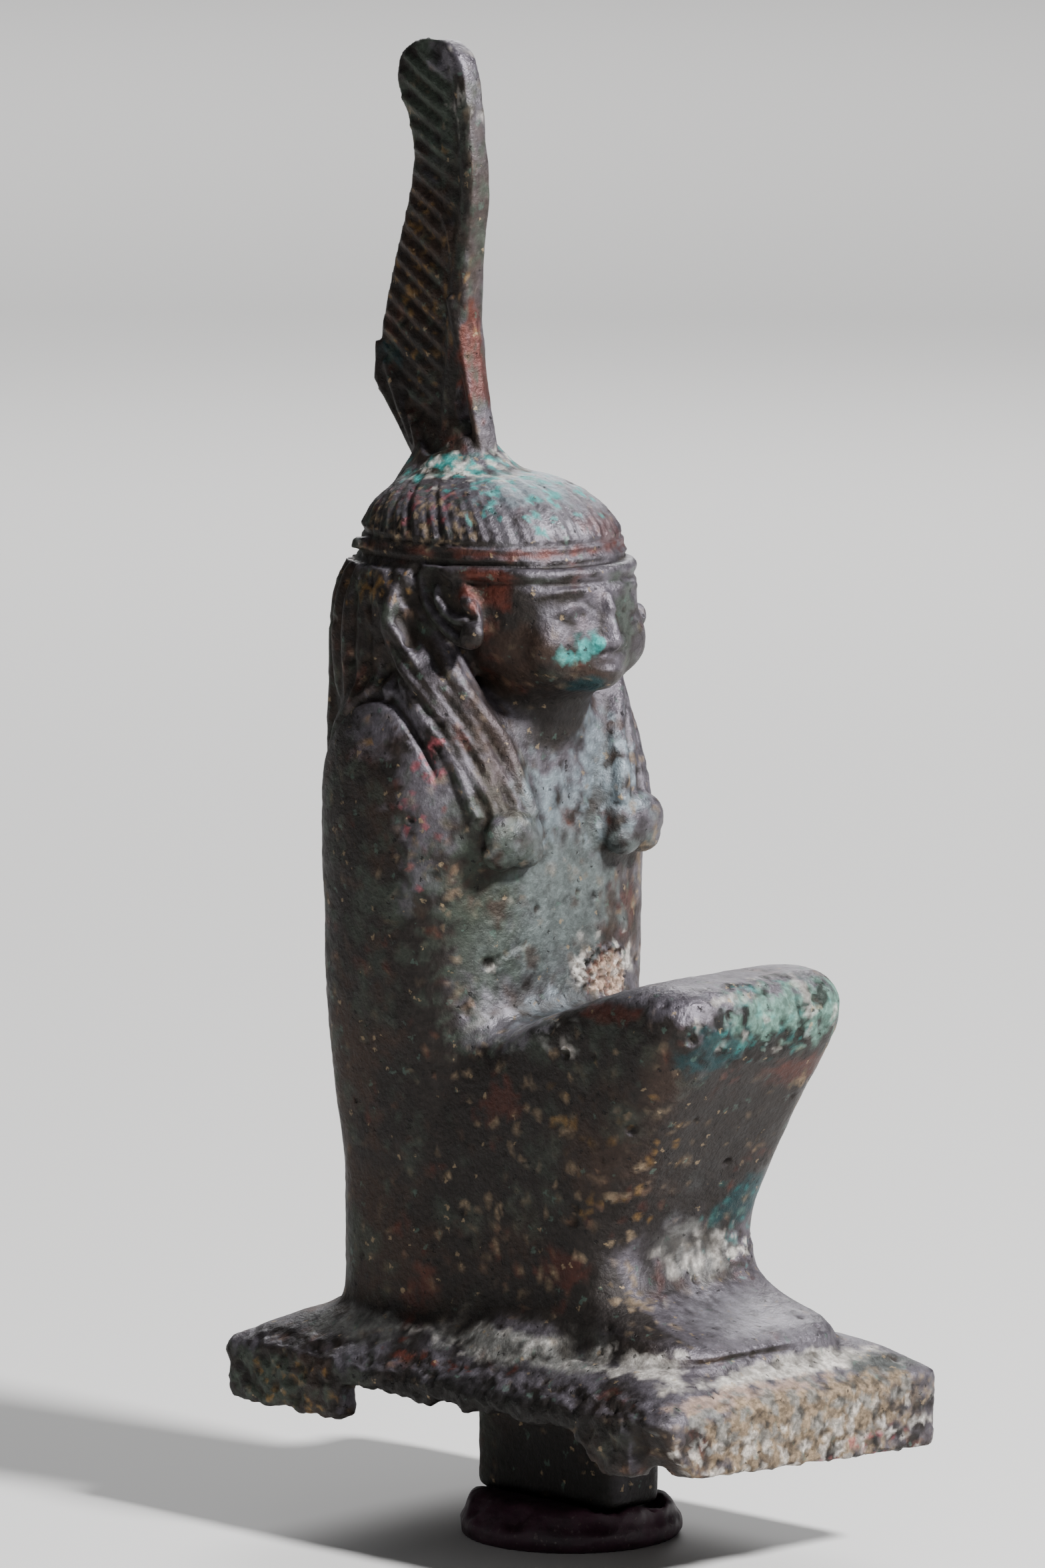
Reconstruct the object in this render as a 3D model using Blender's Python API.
"""A small cast bronze figure of the goddess Maat, squatting on a thin hollow plinth, with her tall feather.

The figure, the feather, the plinth and the tang below it are one casting. The tang is bedded in a round pad
of dark wax. The figure faces -Y and the floor is Z = 0. Sizes are in millimetres until a mesh is made.
"""
import math

import bmesh
import bpy
from mathutils import Euler, Vector

MM = 0.001

# The casting's height from the soles to the feather's tip. The figure's forms are shares of it.
FIGURE_HEIGHT = 84.0
SHARES = 84.0
UNIT = FIGURE_HEIGHT / SHARES

# The plinth: its margins round the feet, its plate and its turned-down skirt.
SIDE_MARGIN = 4.5
FRONT_MARGIN = 2.9
BACK_MARGIN = 3.6
PLATE_EDGE = 1.9
DOME_RISE = 2.0
SKIRT_DROP = 2.9
SKIRT_LEAN = 0.6
WALL = 1.9
LIP_RADIUS = 0.45
CORNER_RADIUS = 1.3

# What is left of the skirt on the figure's right side, where the rest has broken away.
REAR_LUMP = 11.0
FRONT_STUMP = 1.6
BREAK_SLANT = 7.0
BREAK_WAVE = 0.25
CHIP_WIDTH = 3.2
CHIP_HEIGHT = 4.0

# The tang under the plate, and how far it reaches below the skirt.
TANG_WIDTH = 5.4
TANG_DEPTH = 12.9
TANG_REACH = 5.2
TANG_SET_BACK = 1.0
TANG_ROOT = 0.6

# The wax pad that holds the tang. It bulges a little over its foot.
PAD_RADIUS = 7.4
PAD_BULGE = 0.25
PAD_EDGE = 1.5
PAD_CROWN = 2.9
PAD_SET_BACK = 0.8
BED_DEPTH = 0.8
GAP = 0.3

# Heights of the stack, from the floor up.
BED_FLOOR = PAD_CROWN - BED_DEPTH
TANG_BOTTOM = BED_FLOOR + GAP
SKIRT_BOTTOM = TANG_BOTTOM + TANG_REACH
PLATE_UNDERSIDE = SKIRT_BOTTOM + SKIRT_DROP
PLATE_RIM = PLATE_UNDERSIDE + PLATE_EDGE
SOLES = PLATE_RIM + DOME_RISE

# The figure's reach over the plate, in shares of its height.
FOOT_HALF_WIDTH = 8.7
TOES = -17.6
BACK = 16.9
SUNK = -0.8

# The plinth's outline, from the figure's reach and the margins.
PLINTH_HALF_WIDTH = FOOT_HALF_WIDTH * UNIT + SIDE_MARGIN
PLINTH_FRONT = TOES * UNIT - FRONT_MARGIN
PLINTH_BACK = BACK * UNIT + BACK_MARGIN

# Carving counts.
STRANDS = 40
BARBS = 18
LAPPET_LOCKS = 4


def rounded(value, power):
    """Sine or cosine bent towards a rounded rectangle: 2 is an ellipse, more is squarer."""
    return math.copysign(abs(value) ** (2.0 / power), value)


def section(height, half_width, front, back, power=2.6, count=40, ripple=0.0):
    """One level ring of points. Ripple makes every other point stand out."""
    middle, half_depth = (front + back) / 2, (back - front) / 2
    points = []
    for k in range(count):
        angle = 2 * math.pi * k / count
        across = rounded(math.cos(angle), power)
        along = rounded(math.sin(angle), power)
        grow = 1 + (ripple / half_width if k % 2 else 0)
        x = half_width * across * grow
        y = middle + half_depth * along * grow
        points.append((x, y, height))
    return points


def slab(height, half_width, front, back, radius, taper=0.0, lean=0.0, steps=4):
    """One ring with straight sides and round corners. Taper widens it behind, lean drops its left side."""
    middle, half_depth = (front + back) / 2, (back - front) / 2
    points = []
    for corner, (side, end) in enumerate(((1, 1), (-1, 1), (-1, -1), (1, -1))):
        for k in range(steps + 1):
            angle = math.radians(90 * (corner + k / steps))
            x = side * (half_width - radius) + radius * math.cos(angle)
            y = end * (half_depth - radius) + radius * math.sin(angle)
            x *= 1 + taper * y / half_depth
            points.append((x, middle + y, height - lean * x / half_width))
    return points


def figure_point(point):
    """From the figure's shares, measured from the soles, to millimetres over the floor."""
    x, y, z = point
    return x * UNIT, y * UNIT, SOLES + z * UNIT


def figure_section(height, *sizes, **options):
    return [figure_point(point) for point in section(height, *sizes, **options)]


def new_object(name, bm):
    bmesh.ops.recalc_face_normals(bm, faces=bm.faces)
    mesh = bpy.data.meshes.new(name)
    bm.to_mesh(mesh)
    bm.free()
    made = bpy.data.objects.new(name, mesh)
    bpy.context.scene.collection.objects.link(made)
    return made


def loft(name, rings):
    """A closed skin over a stack of rings, which all have the same number of points."""
    bm = bmesh.new()
    levels = [[bm.verts.new(Vector(point) * MM) for point in ring] for ring in rings]
    count = len(rings[0])
    for low, high in zip(levels, levels[1:]):
        for k in range(count):
            after = (k + 1) % count
            bm.faces.new((low[k], low[after], high[after], high[k]))
    bm.faces.new(list(reversed(levels[0])))
    bm.faces.new(levels[-1])
    return new_object(name, bm)


def ellipsoid(name, centre, half_sizes, turn=(0, 0, 0), around=20, levels=10):
    bm = bmesh.new()
    bmesh.ops.create_uvsphere(bm, u_segments=around, v_segments=levels, radius=1)
    bmesh.ops.scale(bm, vec=Vector(half_sizes) * MM, verts=bm.verts)
    bmesh.ops.rotate(bm, matrix=Euler(turn).to_matrix(), verts=bm.verts)
    bmesh.ops.translate(bm, vec=Vector(centre) * MM, verts=bm.verts)
    return new_object(name, bm)


def combine(target, tools, operation):
    """Join tools to the target or cut them from it, and keep them as wire guides."""
    for tool in tools:
        tool.hide_render = True
        tool.display_type = "WIRE"
        modifier = target.modifiers.new(tool.name, "BOOLEAN")
        modifier.operation = operation
        modifier.solver = "EXACT"
        modifier.object = tool


def smooth_curve(keys, share):
    """A point on the smooth curve through the keys, at a share of its length from 0 to 1."""
    spans = len(keys) - 1
    place = min(max(share, 0.0), 1.0) * spans
    first = min(int(place), spans - 1)
    t = place - first
    before, start = Vector(keys[max(first - 1, 0)]), Vector(keys[first])
    end, after = Vector(keys[first + 1]), Vector(keys[min(first + 2, spans)])
    return 0.5 * (2 * start + (end - before) * t + (2 * before - 5 * start + 4 * end - after) * t * t
                  + (3 * start - before - 3 * end + after) * t * t * t)


def figure_stack(name, profile, **options):
    """A loft whose profile gives, level by level: height, half-width, front, back."""
    return loft(name, [figure_section(*level, **options) for level in profile])


def make_torso():
    """The cloaked trunk, flat across the breast, from the plate up to the rounded shoulders."""
    profile = (
        (SUNK, 10.0, 0.8, 16.0), (0.6, 9.4, 1.1, 15.7), (8.0, 9.3, 1.2, 15.7), (17.0, 9.3, 1.1, 16.0),
        (24.0, 9.2, 0.9, 16.3), (30.0, 9.0, 1.1, 16.7), (35.0, 8.9, 1.4, BACK), (38.5, 8.7, 1.8, 16.8),
        (40.2, 8.2, 2.4, 16.2), (41.4, 7.0, 3.4, 15.0), (42.0, 5.4, 4.6, 13.6),
    )
    return figure_stack("torso", profile, power=3.4, count=40)


def make_legs():
    """Drawn-up shins, knees and feet under the cloak. The lap falls from the knees back to the belly."""
    inside = 8.6
    levels = (
        (SUNK, 9.5, TOES, inside, 4.4, 0.04), (0.0, 9.1, TOES, inside, 4.3, 0.05),
        (0.7, 8.7, -17.4, inside, 4.0, 0.06), (1.3, 8.6, -16.4, inside, 3.6, 0.06),
        (2.0, 8.5, -13.7, inside, 3.2, 0.06), (2.8, 8.4, -11.7, inside, 3.0, 0.06),
        (3.8, 8.4, -10.2, inside, 2.8, 0.06), (6.2, 8.4, -9.5, inside, 2.8, 0.06),
        (8.2, 8.4, -10.0, inside, 2.8, 0.06), (11.5, 8.5, -11.7, inside, 2.9, 0.05),
        (14.6, 8.6, -13.4, inside, 3.0, 0.04), (17.2, 8.6, -14.9, 7.6, 3.0, 0.03),
        (19.0, 8.5, -16.1, 3.4, 3.0, 0.02), (20.9, 8.5, -17.1, -2.0, 3.0, 0.01),
        (22.3, 8.3, -17.4, -5.8, 2.8, 0.0), (23.5, 7.9, -17.0, -9.0, 2.6, 0.0),
        (24.2, 7.2, -16.3, -11.2, 2.2, 0.0), (24.6, 6.0, -15.4, -12.6, 1.2, 0.0),
    )
    rings = [[figure_point(point) for point in slab(z, half_width, front, back, radius, taper=taper)]
             for z, half_width, front, back, radius, taper in levels]
    return loft("legs", rings)


def make_arm(side):
    """One arm, drawn close against the trunk beneath the cloak, and lost in the hip below."""
    levels = ((3.0, 7.9, 8.4, 0.7, 4.0), (11.0, 8.1, 8.6, 1.35, 5.4), (18.0, 8.1, 8.8, 2.0, 6.1),
              (24.0, 8.1, 8.8, 2.6, 6.3), (32.0, 8.2, 8.8, 2.8, 6.4), (36.0, 8.2, 9.0, 2.8, 6.0),
              (39.0, 8.1, 9.3, 2.5, 5.0), (41.0, 8.0, 9.5, 1.9, 3.9), (42.2, 7.9, 9.6, 1.0, 2.4))
    rings = []
    for height, x_middle, y_middle, half_width, half_depth in levels:
        ring = section(height, half_width, y_middle - half_depth, y_middle + half_depth, power=2.2, count=20)
        rings.append([figure_point((x + side * x_middle, y, z)) for x, y, z in ring])
    return loft(f"arm_{'left' if side > 0 else 'right'}", rings)


def make_crown():
    """The combed crown of the wig and the double band round it."""
    faint = 0.12
    levels = (
        (48.6, 7.3, 0.4, 16.8, 0.0), (49.3, 7.6, -0.6, 17.0, 0.0), (49.45, 7.8, -1.0, 17.3, 0.0),
        (50.1, 7.8, -1.0, 17.3, 0.0), (50.3, 7.4, -0.6, 16.9, 0.0), (50.45, 7.8, -1.1, 17.3, 0.0),
        (51.4, 7.7, -1.0, 17.2, 0.0), (51.55, 7.3, -0.6, 16.8, faint), (52.6, 7.0, -0.2, 16.5, faint),
        (53.7, 6.2, 0.9, 15.7, faint), (54.7, 4.9, 2.6, 14.2, faint), (55.4, 3.0, 4.8, 12.2, 0.0),
    )
    rings = [figure_section(height, half_width, front, back, power=2.3, count=2 * STRANDS, ripple=ripple)
             for height, half_width, front, back, ripple in levels]
    return loft("crown", rings)


def make_hair():
    """The wig below the band, in combed strands behind the ears, down to the shoulders."""
    strand = 0.26
    levels = ((39.6, 8.2, 6.4, 17.5, strand), (42.4, 8.5, 5.8, 17.8, strand), (45.2, 8.5, 5.4, 17.8, strand),
              (47.6, 8.3, 5.2, 17.7, strand), (49.6, 7.6, 5.0, 17.2, strand))
    rings = [figure_section(height, half_width, front, back, power=2.3, count=64, ripple=ripple)
             for height, half_width, front, back, ripple in levels]
    return loft("hair", rings)


def make_hair_back():
    """The part of the wig that lies down the back, in low strands, cut off level."""
    ripple = 0.25
    levels = ((30.8, 6.7, 9.0, 17.4, 0.0), (31.4, 7.0, 8.6, 17.6, ripple), (36.0, 7.4, 8.6, 17.7, ripple),
              (40.6, 7.4, 8.6, 17.4, ripple), (41.6, 6.6, 9.0, 16.6, ripple))
    rings = [figure_section(height, half_width, front, back, power=3.6, count=56, ripple=rise)
             for height, half_width, front, back, rise in levels]
    return loft("hair_back", rings)


def make_face():
    """A plain oval face of ordinary proportions, with its throat."""
    inside = 11.0
    profile = ((38.6, 4.6, 1.4, inside), (41.4, 4.2, 0.6, inside), (42.0, 4.1, -1.6, inside),
               (42.7, 4.5, -2.7, inside), (44.0, 5.4, -2.8, inside), (46.0, 6.1, -2.7, inside),
               (48.0, 6.5, -2.4, inside), (50.0, 6.6, -2.0, inside), (50.9, 6.4, -0.4, inside))
    return figure_stack("face", profile, power=2.2, count=32)


def make_features():
    """Nose, lips and eyes at the places that drawing books give them."""
    chin, band, front = 42.0, 50.0, -2.6
    height = band - chin
    nose = figure_stack("nose", ((chin + 0.34 * height, 0.85, front - 0.8, 1.0),
                                 (chin + 0.40 * height, 1.0, front - 1.25, 1.0),
                                 (chin + 0.56 * height, 0.7, front - 0.8, 1.0),
                                 (chin + 0.78 * height, 0.5, front - 0.1, 1.0)), power=2.2, count=12)
    lips = ellipsoid("lips", figure_point((0, front + 0.15, chin + 0.22 * height)),
                     (1.5 * UNIT, 0.6 * UNIT, 0.5 * UNIT), around=12, levels=6)
    eyes = [ellipsoid(f"eye_{k}", figure_point((side * 2.5, front + 0.75, chin + 0.68 * height)),
                      (1.2 * UNIT, 0.5 * UNIT, 0.5 * UNIT), around=12, levels=6)
            for k, side in enumerate((-1, 1))]
    return [nose, lips, *eyes]


def make_ear(side):
    """A large ear that leans back at the top, in front of the wig's side."""
    turn = (math.radians(-50), 0, side * math.radians(8))
    return ellipsoid(f"ear_{'left' if side > 0 else 'right'}", figure_point((side * 7.1, 4.5, 47.6)),
                     (1.1 * UNIT, 1.8 * UNIT, 3.6 * UNIT), turn=turn, around=16, levels=10)


def make_lappet(side):
    """A front tress of the wig: from behind the ear, over the shoulder, down the breast to a rounded cap."""
    route = ((7.0, 9.6, 49.6), (7.9, 7.6, 46.6), (7.4, 6.2, 43.6), (6.8, 4.6, 40.8), (6.3, 3.2, 38.0),
             (5.8, 2.0, 35.4), (5.7, 1.7, 34.5), (5.6, 1.4, 33.0), (5.5, 1.4, 31.6), (5.5, 1.6, 30.8))
    half_widths = (1.6, 2.0, 2.3, 2.5, 2.6, 2.6, 2.5, 2.8, 2.6, 1.8)
    half_depths = (0.9, 1.1, 1.2, 1.2, 1.2, 1.2, 1.1, 1.5, 1.4, 0.9)
    facings = (68, 62, 50, 36, 24, 14, 10, 8, 6, 6)
    rings = []
    for (x, y, z), half_width, half_depth, facing in zip(route, half_widths, half_depths, facings):
        turn = math.radians(facing)
        ring = []
        for k in range(8 * LAPPET_LOCKS):
            angle = 2 * math.pi * k / (8 * LAPPET_LOCKS)
            locks = 0.12 * math.cos(4 * LAPPET_LOCKS * angle) if z > 34 else 0.0
            across = half_width * rounded(math.cos(angle), 2.6)
            out = (half_depth + locks) * rounded(math.sin(angle), 2.6)
            place = (x + across * math.cos(turn) - out * math.sin(turn),
                     y + across * math.sin(turn) + out * math.cos(turn), z)
            ring.append(figure_point((side * place[0], place[1], place[2])))
        rings.append(ring)
    return loft(f"lappet_{'left' if side > 0 else 'right'}", rings)


def make_feather():
    """The ostrich feather: a thick quill along the front, and barbs that rise from it to the back edge."""
    quill = ((10.6, 55.9), (10.3, 60.0), (9.9, 64.5), (9.7, 69.0), (9.1, 73.0), (9.2, 77.0), (9.6, 80.2),
             (10.3, 82.6), (11.8, 83.8))
    tips = ((19.1, 60.0), (18.6, 64.2), (17.5, 69.0), (16.1, 73.2), (15.6, 76.6), (16.5, 79.4),
            (17.3, 81.2), (16.6, 83.0), (14.6, 84.0))
    rings = []
    rows = 2 * BARBS
    for row in range(rows + 1):
        share = row / rows
        front, back = smooth_curve(quill, share), smooth_curve(tips, share)
        raised = 0.16 if row % 2 else -0.16
        quill_half = 1.15 - 0.35 * share
        vane_half = 0.72 - 0.12 * share + raised
        half = ((0.0, quill_half - 0.15), (0.05, quill_half), (0.16, quill_half), (0.21, vane_half - 0.12),
                (0.55, vane_half), (0.9, vane_half - 0.1), (1.0, 0.3))
        near = [(-x, *front.lerp(back, place)) for place, x in half]
        far = [(x, *front.lerp(back, place)) for place, x in reversed(half)]
        rings.append([figure_point(point) for point in near + far])
    return loft("feather", rings)


def make_feather_root():
    """The feather's foot, which spreads into the crown of the head."""
    profile = ((53.6, 4.4, 6.4, 15.6), (55.0, 2.9, 7.4, 15.4), (56.0, 1.6, 9.2, 14.9),
               (57.2, 1.15, 10.2, 14.2), (58.2, 0.9, 10.6, 13.6))
    return figure_stack("feather_root", profile, power=2.2, count=24)


def plinth_ring(height, inset, lean=0.0):
    return slab(height, PLINTH_HALF_WIDTH - inset, PLINTH_FRONT + inset, PLINTH_BACK - inset,
                CORNER_RADIUS + 0.4 * inset, lean=lean)


def make_plinth():
    """The plate, low in a dome from its rounded lip to the soles, with the skirt before it is hollowed."""
    rings = [plinth_ring(SKIRT_BOTTOM, 0.1, lean=SKIRT_LEAN), plinth_ring(PLATE_UNDERSIDE, 0.0),
             plinth_ring(PLATE_RIM - LIP_RADIUS, 0.0), plinth_ring(PLATE_RIM, LIP_RADIUS)]
    for share in (0.35, 0.68, 1.0):
        inset = LIP_RADIUS + SIDE_MARGIN * share
        rings.append(plinth_ring(PLATE_RIM + DOME_RISE * math.sin(share * math.pi / 2), inset))
    return loft("plinth", rings)


def make_hollow():
    """The open space under the plate, inside the skirt."""
    below = SKIRT_BOTTOM - 2 * SKIRT_LEAN - 1
    return loft("hollow", [plinth_ring(below, WALL), plinth_ring(PLATE_UNDERSIDE, WALL)])


def prism(name, outline, start, length):
    """A flat outline of (across, height) points, drawn out by the length from its start."""
    bm = bmesh.new()
    face = bm.faces.new([bm.verts.new(start(across, height)) for across, height in outline])
    grown = bmesh.ops.extrude_face_region(bm, geom=[face], use_keep_orig=True)["geom"]
    moved = [item for item in grown if isinstance(item, bmesh.types.BMVert)]
    bmesh.ops.translate(bm, vec=length, verts=moved)
    return new_object(name, bm)


def make_breaks():
    """What has broken from the skirt: the right side, on a slant at the front, and the front's corner."""
    below = SKIRT_BOTTOM - 3
    first, last = PLINTH_BACK - REAR_LUMP, PLINTH_FRONT + FRONT_STUMP
    steps = 14
    edge = []
    for k in range(steps + 1):
        y = first + (last + BREAK_SLANT - first) * k / steps
        wave = BREAK_WAVE * math.sin(1.7 * k) * math.sin(math.pi * k / steps)
        edge.append((y, PLATE_UNDERSIDE - wave + 0.05))
    outline = [(first - 0.3, below), (first - 0.1, PLATE_UNDERSIDE - 0.6), *edge, (last, below)]
    side = prism("side_break", outline, lambda y, z: Vector((-PLINTH_HALF_WIDTH - 1, y, z)) * MM,
                 Vector((WALL + 1.4, 0, 0)) * MM)
    corner = -PLINTH_HALF_WIDTH
    top = PLATE_RIM - LIP_RADIUS
    outline = [(corner - 1, below), (corner - 1, top), (corner, top),
               (corner + 0.45 * CHIP_WIDTH, top - 0.6 * CHIP_HEIGHT),
               (corner + CHIP_WIDTH, top - CHIP_HEIGHT), (corner + CHIP_WIDTH, below)]
    chip = prism("corner_break", outline, lambda x, z: Vector((x, PLINTH_FRONT - 1, z)) * MM,
                 Vector((0, WALL + 2, 0)) * MM)
    return [side, chip]


def make_tang():
    """The casting's peg, a plain block with worn edges, whose foot is cut on a slant."""
    centre = TANG_SET_BACK
    rings = []
    for height, inset in ((TANG_BOTTOM, 0.5), (TANG_BOTTOM + 0.4, 0.0), (PLATE_UNDERSIDE + TANG_ROOT, 0.0)):
        rings.append(section(height, TANG_WIDTH / 2 - inset, centre - TANG_DEPTH / 2 + inset,
                             centre + TANG_DEPTH / 2 - inset, power=7, count=24))
    return loft("tang", rings)


def make_pad():
    """The pad of dark wax: a low round cushion, flat below, with a bed for the tang."""
    shoulder = 0.35
    levels = ((0.0, PAD_BULGE), (0.25 * PAD_EDGE, 0.0), (0.8 * PAD_EDGE, 0.0), (PAD_EDGE, shoulder))
    rings = [section(height, PAD_RADIUS - inset, PAD_SET_BACK - PAD_RADIUS + inset,
                     PAD_SET_BACK + PAD_RADIUS - inset, power=2, count=48) for height, inset in levels]
    rise = PAD_CROWN - PAD_EDGE
    for share in (0.45, 0.8, 1.0):
        inset = shoulder + (PAD_RADIUS - TANG_WIDTH) * share ** 1.5
        rings.append(section(PAD_EDGE + rise * math.sin(share * math.pi / 2), PAD_RADIUS - inset,
                             PAD_SET_BACK - PAD_RADIUS + 0.3 * inset, PAD_SET_BACK + PAD_RADIUS - 0.3 * inset,
                             power=2, count=48))
    return loft("wax_pad", rings)


def make_bed():
    """The tang's own outline with the gap round it, as deep as the bed."""
    centre = TANG_SET_BACK
    rings = [section(height, TANG_WIDTH / 2 + GAP, centre - TANG_DEPTH / 2 - GAP,
                     centre + TANG_DEPTH / 2 + GAP, power=7, count=24)
             for height in (BED_FLOOR, PAD_CROWN + 1)]
    return loft("bed", rings)


def material(name, colour, metallic, roughness):
    made = bpy.data.materials.new(name)
    made.use_nodes = True
    shader = made.node_tree.nodes["Principled BSDF"]
    shader.inputs["Base Color"].default_value = (*colour, 1)
    shader.inputs["Metallic"].default_value = metallic
    shader.inputs["Roughness"].default_value = roughness
    return made


def build():
    for old in list(bpy.data.objects):
        bpy.data.objects.remove(old, do_unlink=True)

    figure = make_plinth()
    figure.name = "maat_figure"
    combine(figure, [make_hollow(), *make_breaks()], "DIFFERENCE")
    body = [make_legs(), make_torso(), make_hair(), make_hair_back(), make_face(), make_crown()]
    body += [maker(side) for maker in (make_arm, make_ear, make_lappet) for side in (-1, 1)]
    combine(figure, body + make_features() + [make_feather_root(), make_feather(), make_tang()], "UNION")
    figure.data.materials.append(material("old_bronze", (0.075, 0.055, 0.05), 0.75, 0.42))

    pad = make_pad()
    combine(pad, [make_bed()], "DIFFERENCE")
    pad.data.materials.append(material("dark_wax", (0.05, 0.012, 0.03), 0.0, 0.5))


build()
